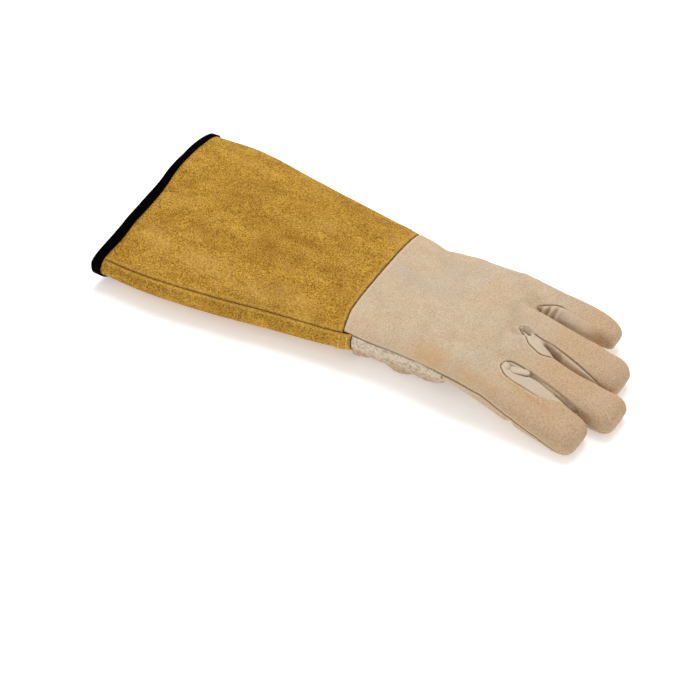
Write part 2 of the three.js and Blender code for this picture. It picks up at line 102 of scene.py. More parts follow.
bpy.ops.mesh.primitive_plane_add(size=12, location=(0, 0, -0.0002))
table = bpy.context.object
table.name = "studio_table"
table.data.materials.append(glowing_white_sweep)

LAMPS = (
    # place and width in metres, and power in watts
    ((-0.35, 0.75, 2.0), 1.3, 27),
    ((-1.3, -1.1, 1.3), 1.2, 4),
)
for place, size, power in LAMPS:
    bpy.ops.object.light_add(type="AREA", location=place)
    lamp = bpy.context.object
    lamp.data.shape = "SQUARE"
    lamp.data.size = size
    lamp.data.energy = power
    lamp.rotation_euler = (-Vector(place)).to_track_quat("-Z", "Y").to_euler()

surround = bpy.data.worlds.new("white_surround")
surround.use_nodes = True
background = surround.node_tree.nodes["Background"]
background.inputs["Color"].default_value = (1, 1, 1, 1)
background.inputs["Strength"].default_value = 0.62
bpy.context.scene.world = surround

# Cuff: two panels of golden split cowhide, 1.8 mm thick with the nap outwards. They are sewn together along both
# sides and turned, so each edge rolls in to the seam. The back panel's end is sewn to the back of the hand.
ORIGIN = np.array((206.0744, 1.7532, 0))  # in the tables, which are in mm, the model's origin lies here
CUFF_WALL = 1.8
CUFF_LENGTH = 202
SEAM_AT_THUMB = math.radians(158)
SEAM_AT_LITTLE = math.radians(12)
CUFF_SQUARENESS = 2.7
HEM_BEND = (4.5, -32, -66)  # how far forward the hem bends, growing between these y
TAPE_LIFT = (1.5, 12, 32)  # how high the opening lies on its tape, down to the table between these x
OPENING_BEND = (
    # y, and how far the opening's edge bends in towards the hand there
    (-88, -1.9), (-73, 0.4), (-61, 1.6), (-49, 1.9), (-37, 1.5), (-25, 1.5), (-13, 1.2), (2, 0.9), (12, 0.2),
    (24, -1.3), (36, -2), (48, -2), (60, -2.4), (72, -2.1), (92, -1),
)
BEND_REACH = 75  # that bend has died out at this x
BODY = (
    # x, the thumb's side, the little finger's side, rise and drop from the middle of the thickness
    (0, -84.5, 89.5, 15, 19),
    (45, -85.5, 91.5, 16.5, 20.5),
    (100, -80, 82.5, 18, 21),
    (150, -72, 75, 17.5, 21),
    (202, -66, 68, 16.5, 18),
    (235, -62, 62, 15, 9),
    (265, -63, 63.5, 14, 8),
    (306, -65.5, 66, 12.4, 8),
    (318, -62.5, 64, 7, 5),
)
MIDDLE = (
    # x, and the height of the middle of the thickness on the thumb's side and the little finger's side
    (0, 19, 19),
    (150, 20, 19.4),
    (202, 22, 19),
    (235, 27, 21),
    (265, 29, 23),
    (305, 27.5, 22.5),
    (350, 18.5, 17),
    (388, 11.2, 11.2),
    (420, 9.5, 9.5),
)
THUMB_SIDE = -65
LITTLE_SIDE = 67
CUFF_EDGE = (
    # y, and where the palm panel ends there
    (-100, 215), (-52, 213.5), (3, 206), (7, 195), (10, 184), (14, 182), (21, 185), (34, 190), (100, 195),
)
TURN = 2 * math.pi


def mix(a, b, t):
    return a + (b - a) * t


def rising(value, start, over):
    """0 up to the start, and 1 from this much further on."""
    return np.clip((value - start) / over, 0, 1)


def ease(t):
    s = np.clip(t, 0, 1)
    return s * s * (3 - 2 * s)


def hump(value, centre, width):
    """1 at the centre, and about a third at this width from it."""
    return np.exp(-(((value - centre) / width) ** 2))


def row_at(rows, value):
    """The columns after the first, on a smooth curve through the rows, where the first column has this value."""
    rows = np.array(rows, float)
    key = rows[:, 0]
    last = len(key) - 1
    before = np.maximum(np.arange(last + 1) - 1, 0)
    after = np.minimum(np.arange(last + 1) + 1, last)
    slope = (rows[after] - rows[before]) / (key[after] - key[before])[:, None]
    v = np.clip(np.atleast_1d(value).astype(float), key[0], key[-1])
    i = np.clip(np.searchsorted(key, v) - 1, 0, last - 1)
    step = key[i + 1] - key[i]
    t = (v - key[i]) / step
    bend = t * (1 - t) * step
    flat = mix(rows[i], rows[i + 1], (t * t * (3 - 2 * t))[:, None])
    made = flat + bend[:, None] * ((1 - t)[:, None] * slope[i] - t[:, None] * slope[i + 1])
    return made[:, 1:].T


def middle(x, y):
    thumb, little = row_at(MIDDLE, x)
    return mix(thumb, little, (y - THUMB_SIDE) / (LITTLE_SIDE - THUMB_SIDE))


def rounded(angle, half, rise, drop, squareness):
    """Across and up of a rounded section's point: angle 0 is the little finger's side, a quarter turn the top."""
    c, s = np.cos(angle), np.sin(angle)
    height = np.where(s > 0, rise, drop)
    exponent = 2 / squareness
    return half * np.sign(c) * np.abs(c) ** exponent, height * np.sign(s) * np.abs(s) ** exponent


def body_surface(x, angle, inset=0):
    """Points of the outer surface of the cuff and the hand, with the underside flat on the table."""
    thumb, little, rise, drop = row_at(BODY, x)
    across, up = rounded(angle, (little - thumb) / 2 - inset, rise - inset, drop - inset, CUFF_SQUARENESS)
    y = (little + thumb) / 2 + across
    lift = TAPE_LIFT[0] * ease((TAPE_LIFT[2] - x) / (TAPE_LIFT[2] - TAPE_LIFT[1]))
    bent = x + row_at(OPENING_BEND, y)[0] * (1 - ease(x / BEND_REACH))
    return np.stack((bent, y, np.maximum(middle(x, y) + up, inset + lift)), axis=1)


def y_round(x, angle):
    """The y of the points at these angles round the section at one x."""
    return body_surface(np.full(len(angle), float(x)), angle)[:, 1]


def read_vectors(values, name):
    flat = np.empty(len(values) * 3)
    values.foreach_get(name, flat)
    return flat.reshape(-1, 3)


def points_of(piece):
    """The places of a mesh's points, in the tables' mm."""
    return read_vectors(piece.data.vertices, "co") * 1000 + ORIGIN


def put_points(piece, points):
    piece.data.vertices.foreach_set("co", ((points - ORIGIN) / 1000).ravel())
    piece.data.update()


def settle(piece, points):
    """Puts a mesh's points in their places, but none of them below the table."""
    points[:, 2] = np.maximum(points[:, 2], 0)
    put_points(piece, points)


def outwards(piece):
    """The direction that the surface faces, at each point."""
    return read_vectors(piece.data.vertex_normals, "vector")


def shaped_grid(name, columns, rows, place):
    """A sheet divided into columns and rows, whose points go where place(u, v) says, in mm."""
    bpy.ops.object.select_all(action="DESELECT")
    bpy.ops.mesh.primitive_grid_add(x_subdivisions=columns, y_subdivisions=rows, size=2)
    made = bpy.context.object
    made.name = name
    u, v = (read_vectors(made.data.vertices, "co")[:, :2].T + 1) / 2
    put_points(made, place(u, v))
    return made


def hem(y):
    """Where the cuff ends on the back: its seam bends towards the fingers on the thumb's side."""
    return CUFF_LENGTH + HEM_BEND[0] * ease((y - HEM_BEND[1]) / (HEM_BEND[2] - HEM_BEND[1])) ** 1.5


def palm_end(y):
    """Where the cuff ends on the palm."""
    return np.interp(y, *np.transpose(CUFF_EDGE))


def bumps(points, length, seed):
    """Smooth unevenness between about -1 and 1, whose hollows are this many mm apart."""
    shift = Vector((seed * 17.3, seed * 5.1, seed * 9.7))
    return np.array([noise.noise(Vector(p) / length + shift) for p in points.tolist()])


def distance_to(points, marks):
    """How far each point is from the nearest of the marks."""
    tree = KDTree(len(marks))
    for i, mark in enumerate(marks.tolist()):
        tree.insert(mark, i)
    tree.balance()
    return np.array([tree.find(p)[2] for p in points.tolist()])


def rolled(distance, depth, reach):
    """How deep a leather's edge has rolled in, this far from its seam."""
    t = np.clip(1 - distance / reach, 0, 1)
    return depth * (1 - np.sqrt(1 - t * t))


def apply_modifier(piece, kind, **settings):
    """Adds a modifier with these settings and applies it."""
    bpy.ops.object.select_all(action="DESELECT")
    piece.select_set(True)
    bpy.context.view_layer.objects.active = piece
    made = piece.modifiers.new(kind.lower(), kind)
    for key, value in settings.items():
        setattr(made, key, value)
    bpy.ops.object.modifier_apply(modifier=made.name)


def dress(piece, material):
    """Gives a piece smooth shading and this material alone."""
    piece.data.polygons.foreach_set("use_smooth", np.ones(len(piece.data.polygons), bool))
    piece.data.update()
    piece.data.materials.clear()
    piece.data.materials.append(material)


def add_values(piece, name, values):
    """A number on each point, which a material can read."""
    made = piece.data.attributes.new(name, "FLOAT", "POINT")
    made.data.foreach_set("value", np.asarray(values, float))


def node(material, kind, links=None, **settings):
    """Adds a node. Settings are properties, input values or a ramp's stops, and links feed the inputs."""
    tree = material.node_tree
    made = tree.nodes.new("ShaderNode" + kind)
    for key, value in settings.items():
        socket = made.inputs.get(key.replace("_", " ").title())
        if key.startswith("in_"):
            made.inputs[int(key[3:])].default_value = value
        elif key == "stops":
            for stop, (position, colour) in zip(made.color_ramp.elements, value):
                stop.position, stop.color = position, linear(colour)
        elif socket:
            socket.default_value = value
        else:
            setattr(made, key, value)
    for number, source in (links or {}).items():
        output = source if isinstance(source, bpy.types.NodeSocket) else source.outputs[0]
        tree.links.new(output, made.inputs[number])
    return made


def patterned(material, patterns):
    """Colours laid over one another. Each follows a pattern between two stops, and covers this much."""
    made = None
    for pattern, amount, *stops in patterns:
        colour = node(material, "ValToRGB", {0: pattern}, stops=stops).outputs[0]
        made = node(material, "Mix", {6: made or colour, 7: colour}, data_type="RGBA", factor=amount).outputs[2]
    return made


def tinted(material, colour, tints):
    """A colour with tints over it. Each covers this much, where its node or mesh value is 1."""
    for source, amount, tint in tints:
        if isinstance(source, str):
            source = node(material, "Attribute", attribute_name=source).outputs["Fac"]
        share = node(material, "Math", {0: source}, operation="MULTIPLY", in_1=amount)
        colour = node(material, "Mix", {0: share, 6: colour}, data_type="RGBA", in_7=linear(tint)).outputs[2]
    return colour


# Split cowhide: suede from the inner layer of the hide, dyed golden tan. It is matt, and the dye takes unevenly, so
# it has darker streaks and paler patches. Its nap catches the light in tufts that are too fine to show, so their
# light and shade is painted into the colour as tufts about 1 mm across.
cowhide, surface = new_material("split_cowhide_suede", 0.95, 0.12)
surface.inputs["Sheen Weight"].default_value = 0.12
surface.inputs["Sheen Roughness"].default_value = 0.5
surface.inputs["Sheen Tint"].default_value = linear("#E8CC90")
at = node(cowhide, "TexCoord").outputs["Object"]
along = node(cowhide, "Mapping", {0: at}, rotation=(0, 0, 0.6), scale=(0.85, 1.1, 1))
patches, streaks, tufts = [
    node(cowhide, "TexNoise", {0: along}, scale=scale, detail=4, roughness=rough, distortion=twist)
    for scale, rough, twist in ((22, 0.62, 0.9), (95, 0.6, 0.7), (950, 0.75, 0.3))
]
suede_colour = patterned(cowhide, (
    (patches, 1, (0.34, "#98660F"), (0.66, "#B88524")),
    (streaks, 0.47, (0.36, "#6E4106"), (0.64, "#C79334")),
    # painted light and shade of the nap, in tufts about 1 mm across
    (tufts, 0.62, (0.41, "#4A2B02"), (0.59, "#EAB84E")),
))

# The nap is darker or lighter in patches: at random, and most of all in the places of the table below.
mottle = node(cowhide, "Mapping", {0: at}, scale=(0.65, 1.2, 1))
mottle = node(cowhide, "TexNoise", {0: mottle}, scale=46, detail=4, roughness=0.6, distortion=0.5)
for tone, least, most, amount, colour in (
    ("dark", 0.53, 0.36, 0.26, "#704005"),
    ("light", 0.51, 0.66, 0.15, "#DDB264"),
):
    share = node(cowhide, "MapRange", {0: mottle}, from_min=least, from_max=most, to_min=0, to_max=amount)
    spot = node(cowhide, "Attribute", attribute_name=tone).outputs["Fac"]
    share = node(cowhide, "Math", {0: spot, 2: share}, operation="MULTIPLY_ADD", in_1=0.2)
    suede_colour = tinted(cowhide, suede_colour, ((share, 1, colour),))
# A painted highlight on the lips beside the seams, and painted shade with some dirt along the seams.
suede_colour = tinted(cowhide, suede_colour, (("lip_highlight", 0.3, "#D8AC58"), ("seam", 0.55, "#5A3A10")))
cowhide.node_tree.links.new(suede_colour, surface.inputs["Base Color"])

MOTTLE_PATCHES = {
    # on the back of the cuff: a path in plan, the patch's width, and how strong it is
    "dark": (
        (((182, -16), (197, -39)), 7, 1),
        (((104, -8), (126, 0), (150, 4)), 4.5, 1),
        (((21, 7), (29, 6)), 7, 1),
        (((51, -19), (64, -25)), 7, 1),
        (((112, -21), (114, -12)), 6, 1),
        (((137, -29), (144, -18)), 6, 1),
        (((165, -16), (174, -8)), 5, 1),
    ),
    "light": (
        (((130, -60), (146, -52), (173, -56)), 9, 1),
        (((73, -53), (89, -52)), 9, 1),
        (((24, -42), (36, -46)), 9, 1),
        (((137, 31), (144, 27)), 8, 1),
    ),
}


def in_mm(places):
    return np.array(places) * 1000 + ORIGIN


def edge_points(piece):
    """The places of the points on a sheet's edges."""
    mesh = bmesh.new()
    mesh.from_mesh(piece.data)
    made = in_mm([v.co[:] for v in mesh.verts if v.is_boundary])
    mesh.free()
    return made


def off_line(points, a, b):
    """How far each point is, in plan, from the straight line between two corners."""
    x, y = points[:, 0], points[:, 1]
    way = b - a
    t = np.clip(((x - a[0]) * way[0] + (y - a[1]) * way[1]) / max(way @ way, 1e-9), 0, 1)
    return np.hypot(x - a[0] - way[0] * t, y - a[1] - way[1] * t)


def beside(points, path, width):
    """1 on a path in plan, and less beside it: about a third at this width."""
    path = np.array(path, float)
    nearest = np.minimum.reduce([off_line(points, a, b) for a, b in zip(path, path[1:])])
    return hump(nearest, 0, width)


def patched(points, patches):
    """The most that any of the patches gives each point."""
    return np.maximum.reduce([strength * beside(points, path, width) for path, width, strength in patches])


def finish_cuff_panel(piece, name, edge, lap):
    """Rolls the panel's edges in to their seams, makes it a little uneven, and gives it its thickness."""
    points = points_of(piece)
    x = points[:, 0]
    facing = outwards(piece)
    distance = distance_to(points, edge)
    lying = 1 - np.clip(-facing[:, 2] * 2, 0, 1)
    waves = 0.8 * bumps(points, 55, 1) + 0.35 * bumps(points, 17, 2)
    waves *= rising(distance, 0, 12) * rising(x, 4, 25) * lying
    # The sides wave most, in long and short folds that run up and down.
    side = np.clip(1 - np.abs(facing[:, 2]) * 1.6, 0, 1)
    waves += side * 1.5 * bumps(points * (1, 0.3, 0.3), 31, 13) * rising(x, 20, 30)
    waves += side * 0.4 * bumps(points * (1, 0.4, 0.4), 9, 8) * rising(x, 10, 20)
    pucker = 0.22 * bumps(points, 3.2, 3) * np.exp(-distance / 3)
    puff = 0.35 * hump(distance, 2.6, 1.6)
    push = waves + pucker + puff - rolled(distance, 0.6, 1.3) + lap - 0.4
    # The tape holds the edge of the opening even.
    push *= rising(x, 5, 6)
    points += facing * push[:, None]
    settle(piece, points)
    # Painted shade with some dirt along the seams, and a painted highlight on the lips beside them.
    add_values(piece, "seam", hump(distance, 0, 0.65))
    add_values(piece, "lip_highlight", hump(distance, 2, 1.1))
    ragged = 1 + 0.5 * bumps(points, 8, 15)
    for tone, patches in MOTTLE_PATCHES.items():
        add_values(piece, tone, np.clip(patched(points, patches) * ragged * (facing[:, 2] > 0), 0, 1))
    apply_modifier(piece, "SOLIDIFY", thickness=CUFF_WALL / 1000, offset=-1)
    dress(piece, cowhide)
    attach(piece, "root")
    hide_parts(name)


PANEL_START = 0.3
HEM_SECTION = 200  # the y at this x says where a line along a panel ends
ROLL_START = 8  # the seams roll in from this x on


def back_panel(u, v):
    angle = mix(SEAM_AT_THUMB, SEAM_AT_LITTLE, v)
    return body_surface(mix(PANEL_START, hem(y_round(HEM_SECTION, angle)), u), angle)


def palm_panel(u, v):
    angle = mix(SEAM_AT_LITTLE + TURN, SEAM_AT_THUMB, v)
    return body_surface(mix(PANEL_START, palm_end(y_round(HEM_SECTION, angle)), u), angle)


cuff_back = shaped_grid("cuff_back_leather", 170, 140, back_panel)
edge = edge_points(cuff_back)
finish_cuff_panel(cuff_back, "cuff_back", edge[edge[:, 0] > ROLL_START], 0)

# The palm's panel has a cut edge that lies over the hand's leather, so that end isn't rolled but stands up a
# little over its last 15 mm.
cuff_palm = shaped_grid("cuff_palm_leather", 170, 176, palm_panel)
edge = edge_points(cuff_palm)
is_side = (edge[:, 0] > ROLL_START) & (edge[:, 0] < palm_end(edge[:, 1]) - 0.8)
points = points_of(cuff_palm)
lap = 0.9 * ease((points[:, 0] - palm_end(points[:, 1]) + 15) / 5)
finish_cuff_panel(cuff_palm, "cuff_palm", edge[is_side], lap)

# Binding: a black woven tape folded round the edge of the opening and sewn through. It is 7.6 mm wide on both faces
# on the thumb's side and narrows to 5 mm on the little finger's.
TAPE_WIDTH = ((-20, 7.6), (-5, 7), (11, 6), (36, 5.5), (60, 5))  # y, and the width there
TAPE_OUT = 1.5  # how far it lies outside the cuff's outer face, and inside it
TAPE_IN = 3.3
TAPE_CROWN = 1.4
TAPE_WALL = 1.1
WELDED = 0.00002  # points this near to each other, in metres, are one

# Polyester tape, woven fine and dyed black: dull, with hardly any gloss.
woven_tape, surface = new_material("woven_polyester_tape", 0.9, 0.02)
surface.inputs["Base Color"].default_value = linear("#020202")


def tape(u, v):
    outer, fold, inner = rising(u, 0, 0.42), rising(u, 0.42, 0.16), rising(u, 0.58, 0.42)
    angle = -v * TURN
    width = row_at(TAPE_WIDTH, y_round(0, angle))[0] + 0.35 * np.sin(angle * 9)
    x = width * (1 - outer) - TAPE_CROWN * np.sin(math.pi * fold) + width * inner
    inset = -TAPE_OUT + (TAPE_OUT + TAPE_IN) / 2 * (1 - np.cos(math.pi * fold))
    points = body_surface(np.maximum(x, 0), angle, inset)
    points[:, 0] += np.minimum(x, 0)
    return points


binding = shaped_grid("cuff_binding_tape", 26, 420, tape)
apply_modifier(binding, "WELD", merge_threshold=WELDED)
bpy.ops.object.mode_set(mode="EDIT")
bpy.ops.mesh.select_all(action="SELECT")
bpy.ops.mesh.flip_normals()
bpy.ops.object.mode_set(mode="OBJECT")
apply_modifier(binding, "SOLIDIFY", thickness=TAPE_WALL / 1000, offset=-1)
dress(binding, woven_tape)
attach(binding, "root")
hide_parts("cuff_binding")

# Hand: grain pigskin 1.4 mm thick. The body, four fingers and the ball of the thumb are shaped as one skin, which
# is then cut along the seams into the back, the palm, the fronts, the side strips and the thumb's outer half.
HAND_WALL = 1.4
HAND_START = 172
HAND_END = 318
WEB_BEND = (284, 34)  # the end bends to the webs from this x on, over this many mm
WEB = ((-64, 332), (-32, 325), (0, 319), (34, 316), (68, 320))  # y, and where the hand ends there
FINGERS = (
    # name, root x and y, tip x and y, half the width at the root and at the tip
    ("index", 296, -47.5, 400, -55.5, 15.3, 16.2),
    ("middle", 296, -15.5, 415, -21, 15.3, 16.2),
    ("ring", 296, 17, 402, 12, 15.3, 15.8),
    ("little", 292, 49, 380, 46.5, 15, 13.6),
)
BALL = (
    # x, y, half the width, lowest and highest
    (204, -32, 29, 2, 36),
    (228, -33.5, 28.3, 0.5, 38),
    (252, -41, 20, 1.5, 38),
    (273, -49.5, 11, 7, 37),
    (285, -53, 7.5, 13.5, 34),
    (295, -54.5, 4.5, 20, 32),
)
THUMB = (
    # x, y, half the width, lowest and highest
    (226, -32, 18, 3.5, 12),
    (246, -20, 24, 0, 13.4),
    (276, 2, 24.5, 0, 13.8),
    (302, 19, 22, 0, 13),
)
THUMB_SEAM = 6.8
SIDE_STRIPS = (
    # the seams of each side strip where it comes up on top, in plan: on the near finger, then on the far one
    (
        ((324.2, -32.5), (325, -36.5), (327.8, -40), (331.5, -42.8), (336, -43.9), (341, -44.5), (348.3, -44.7),
         (357, -45.2), (363.5, -44.6), (369, -42.5), (375, -39.5), (382, -36.8), (390, -36.5), (397, -37.5)),
        ((324.2, -31), (325.1, -27.8), (327.6, -26.4), (331.4, -26), (337.3, -26.2), (344.5, -27.2), (352, -28.1),
         (361.6, -29.3), (372.9, -31.2), (386.7, -34.2), (397, -37)),
    ),
    (
        ((317.6, 8.2), (318.6, 6.9), (322.4, 4.8), (326.5, 0.6), (331, -4.2), (337.4, -7.1), (343, -8.5),
         (348, -7.5), (352, -5.4), (358, -4), (390, -5.5)),
        ((318.4, 8.8), (320.4, 9.8), (323, 10.2), (326.5, 9.4), (330.2, 8.2), (335.8, 7.1), (341.8, 6.6),
         (347.5, 6.3), (354, 5.2), (362, 3.7), (374, 1.1), (388, -2.1), (394, -5)),
    ),
    (
        ((318, 37.3), (320, 35.8), (324, 34.8), (332, 33.6), (345, 32.6), (376, 31.4)),
        ((319, 38.2), (323.5, 40.2), (328.8, 42.6), (333.5, 43.9), (338.9, 44), (348.2, 43.4), (357.9, 42.8),
         (366, 41.4), (372, 39), (377, 35)),
    ),
)
FAR_EDGE = {
    # how far a finger's upper edge stands out over the gap on its far side: x, and mm past the finger's own width
    "index": ((318, 0), (330, 1), (340, 3.2), (348, 4.8), (354, 4.8), (360, 4), (368, 2.4), (378, 1.6), (388, 1),
              (400, 0)),
    "middle": ((318, 0), (325, 5), (331, 7.6), (338, 6.4), (345, 3), (351, -1), (358, -2.2), (366, -3),
               (376, -3.2), (390, -2), (404, 0)),
    "ring": ((318, 0), (335, 0), (350, -0.8), (362, -0.8), (376, 0.6), (388, 1.8), (400, 1.5)),
}
EDGE = 2.7  # how square a finger's section is
SLOPE = (1.5, 300, 400)  # the same for its near edge: from this to EDGE, between these x
FINGER_RISE = (10.5, 11.4)  # up and down from the middle of the thickness, at the root and 40 mm on
FINGER_DROP = (7.4, 10.6)
ROOT_LENGTH = 40
TIP_LENGTH = 15
NARROW_END = (358, 16)  # the little finger tapers from this x on, over this many mm
SEAM_RISE = (
    # x, and how far above the middle the back's seam lies on the thumb's side and on the little finger's
    (202, 8, 4.2), (208, 8, 4.4), (238, 3, 3.5), (320, 2.5, 3.2), (350, -0.3, 3), (375, -2.2, 3), (420, -4, 3),
)
SEAM_START = 203
PALM_SEAM = (
    # the seams of the palm, in plan: round the ball of the thumb, then at the base of each finger's front
    (203, 4), (226, -2), (240, -9), (256, -22), (270, -35), (284, -42), (288, -48), (291, -56), (292, -80),
)
INDEX_BASE = ((288, -48), (322, -31), (332, -33))
MIDDLE_BASE = ((322, -31), (327, -15), (321, 1), (329, 0.5))
RING_BASE = ((321, 1), (323, 17), (317, 34), (325, 33.5))


def round_end(part, squareness):
    return (1 - (1 - np.clip(part, 0, 1)) ** squareness) ** (1 / squareness)


def cross_section(x, y, way, height, half, rise, drop, angle, squareness, near=None):
    """Points round a section across a centreline that heads along way, no lower than the table."""
    across, up = rounded(angle, half, rise, drop, squareness)
    if near is not None:
        sloped = (np.cos(angle) < 0) & (np.sin(angle) > 0)
        across_near, up_near = rounded(angle, half, rise, drop, near)
        across, up = np.where(sloped, across_near, across), np.where(sloped, up_near, up)
    return np.stack((x - way[1] * across, y + way[0] * across, np.maximum(height + up, 0)), axis=1)


def closed_tube(name, columns, rows, place):
    """A tube whose two ends are closed, facing outwards."""
    made = shaped_grid(name, columns, rows, place)
    apply_modifier(made, "WELD", merge_threshold=WELDED)
    bpy.ops.object.mode_set(mode="EDIT")
    bpy.ops.mesh.select_all(action="SELECT")
    bpy.ops.mesh.fill_holes(sides=0)
    bpy.ops.mesh.select_all(action="SELECT")
    bpy.ops.mesh.normals_make_consistent(inside=False)
    bpy.ops.object.mode_set(mode="OBJECT")
    return made


def hand_body(u, v):
    x = mix(HAND_START, HAND_END, u)
    points = body_surface(x, v * TURN)
    points[:, 0] += (row_at(WEB, points[:, 1])[0] - HAND_END) * ease((x - WEB_BEND[0]) / WEB_BEND[1])
    return points


def finger_tube(finger):
    # The side strip folds in between the fingers, so a finger's edges stand out over it, the far edge sharply.
    name, root_x, root_y, tip_x, tip_y, root_half, tip_half = finger
    length = math.hypot(tip_x - root_x, tip_y - root_y)
    way = ((tip_x - root_x) / length, (tip_y - root_y) / length)

    def place(u, v):
        s = length * (1 - (1 - u) ** 1.6)
        round_off = round_end((length - s) / TIP_LENGTH, 2.4)
        from_root = ease(s / ROOT_LENGTH)
        half = mix(root_half, tip_half, ease(s / length / 0.75)) * mix(0.6, 1, round_off)
        rise = mix(*FINGER_RISE, from_root) * mix(0.2, 1, round_off)
        drop = mix(*FINGER_DROP, from_root) * mix(0.2, 1, round_off)
        x, y = root_x + way[0] * s, root_y + way[1] * s
        near = None
        if name != "index":
            near = mix(SLOPE[0], EDGE, ease((x - SLOPE[1]) / (SLOPE[2] - SLOPE[1])))
        angle = v * TURN
        c = np.cos(angle)
        if name == "little":
            narrow = ease((x - NARROW_END[0]) / NARROW_END[1])
            half = half * np.where(c < 0, 1 - 0.4 * narrow, 1) + np.where(c > 0, 3.4 * hump(x, 354, 19), 0)
            drop = drop * (1 - 0.45 * narrow)
        sharp = ease((tip_x - 14 - x) / 22) if name in FAR_EDGE else 0
        far = np.where((c > 0) & (np.sin(angle) > 0), mix(2.9, 6, sharp), EDGE)
        points = cross_section(x, y, way, middle(x, y), half, rise, drop, angle, far, near)
        level = points[:, 2] - middle(x, y)
        if name in FAR_EDGE:
            out = row_at(FAR_EDGE[name], x)[0] * np.clip((points[:, 1] - y) / half, 0, 1) ** 2
            points[:, 1] += out * ease((level - 2.5) / 4)
        folded = np.where(c > 0, name != "little", name != "index") * hump(level, -0.5, 4.6)
        folded = folded * ease((x - 322) / 22) * ease((tip_x - 4 - x) / 22) * 3.2
        points[:, 1] -= np.sign(c) * folded
        return points

    return closed_tube("skin_" + name, 70, 56, place)


def ball_place(u, v):
    x = mix(BALL[0][0], BALL[-1][0], u)
    y, half, low, high = row_at(BALL, x)
    tall = (high - low) / 2
    return cross_section(x, y, (1, 0), (high + low) / 2, half, tall, tall, v * TURN, 3)


def thumb_place(u, v):
    part = 1 - (1 - u) ** 1.6
    x = mix(THUMB[0][0], THUMB[-1][0], part)
    y, half, low, high = row_at(THUMB, x)
    ahead, behind = np.minimum(x + 4, THUMB[-1][0]), np.maximum(x - 4, THUMB[0][0])
    way = np.stack((ahead - behind, row_at(THUMB, ahead)[0] - row_at(THUMB, behind)[0]))
    way /= np.hypot(way[0], way[1])
    round_off = round_end((1 - part) / 0.25, 2.6)
    tall = (high - low) / 2 * mix(0.3, 1, round_off)
    return cross_section(x, y, way, (high + low) / 2, half * mix(0.62, 1, round_off), tall, tall,
                         v * TURN, 2.5)


def joined(pieces):
    """Several meshes as one, which is the first."""
    bpy.ops.object.select_all(action="DESELECT")
    for piece in pieces:
        piece.select_set(True)
    bpy.context.view_layer.objects.active = pieces[0]
    bpy.ops.object.join()
    return pieces[0]


# The skin is remeshed in voxels of 1.09 mm. The voxels are as fine as they can be while
# no leather has more than 200,000 triangles.
skin = joined([
    closed_tube("skin_body", 90, 160, hand_body),
    *[finger_tube(finger) for finger in FINGERS],
    closed_tube("skin_ball", 60, 60, ball_place),
])
apply_modifier(skin, "REMESH", mode="VOXEL", voxel_size=0.00109, adaptivity=0)
apply_modifier(skin, "SMOOTH", factor=0.5, iterations=3)


def to_tip(x, y):
    tip = row_at(sorted((f[4], f[3]) for f in FINGERS), y)[0]
    return ease((tip - 3 - x) / 26)


def back_seam(x, y):
    thumb, little = row_at(SEAM_RISE, x)
    side = ease((y - THUMB_SIDE) / (LITTLE_SIDE - THUMB_SIDE))
    return middle(x, y) + mix(-4.5, mix(thumb, little, side), to_tip(x, y)) + 0.5


def front_seam(x, y):
    return middle(x, y) - 6 + to_tip(x, y)


def within(outline, points):
    """How far inside an outline in plan each point is, or minus how far outside it."""
    x, y = points[:, 0], points[:, 1]
    corners = np.array(outline, float)
    nearest = np.full(len(x), np.inf)
    inside = np.zeros(len(x), bool)
    for a, b in zip(corners, np.roll(corners, -1, axis=0)):
        nearest = np.minimum(nearest, off_line(points, a, b))
        if a[1] != b[1]:
            crosses = (a[1] > y) != (b[1] > y)
            inside ^= crosses & (x < a[0] + (y - a[1]) / (b[1] - a[1]) * (b[0] - a[0]))
    return np.where(inside, nearest, -nearest)


def centre_at(finger, x):
    return mix(finger[2], finger[4], (x - finger[1]) / (finger[3] - finger[1]))


def gap_outline(a, b):
    """The side strip between two neighbouring fingers lies in this outline."""
    start, end_a, end_b = 304, a[3] - 9, b[3] - 9
    half_a = (centre_at(a, end_a) + centre_at(b, end_a)) / 2
    half_b = (centre_at(a, end_b) + centre_at(b, end_b)) / 2
    return (
        (start, centre_at(a, start)), (end_a, centre_at(a, end_a)), (end_a, half_a),
        (end_b, half_b), (end_b, centre_at(b, end_b)), (start, centre_at(b, start)),
    )


def smooth_line(corners, steps=6):
    """Points on a smooth line through the corners."""
    rows = [(i, *corner) for i, corner in enumerate(corners)]
    return row_at(rows, np.linspace(0, len(corners) - 1, (len(corners) - 1) * steps + 1)).T


STRIP_OUTLINES = [np.concatenate((smooth_line(near), smooth_line(far)[::-1])) for near, far in SIDE_STRIPS]
AREAS = {
    # in plan, along the palm's seams and then well outside the glove
    "thumb_outer": PALM_SEAM + ((292, -110), (150, -110), (150, 4)),
    "index_front": INDEX_BASE + ((430, -38), (430, -110), (292, -110), (292, -80), (291, -56)),
    "middle_front": ((332, -33),) + MIDDLE_BASE + ((430, -3), (430, -38)),
    "ring_front": ((329, 0.5),) + RING_BASE + ((430, 30), (430, -3)),
}


def cuff_side(points):
    """Above zero where the hand's leather is past the cuff's edge, on the back and on the palm."""
    x, y, z = points.T
    palm = x - palm_end(y) - PANEL_START
    return np.where(z > back_seam(np.maximum(x, SEAM_START), y), x - hem(y) - PANEL_START, palm)


def back_side(points):
    x, y, z = points.T
    made = z - back_seam(x, y)
    for outline in STRIP_OUTLINES:
        made = np.minimum(made, -within(outline, points))
    return made


def strip_side(a, b):
    def side(points):
        x, y, z = points.T
        return np.minimum(within(gap_outline(a, b), points), z - front_seam(x, y))

    return side


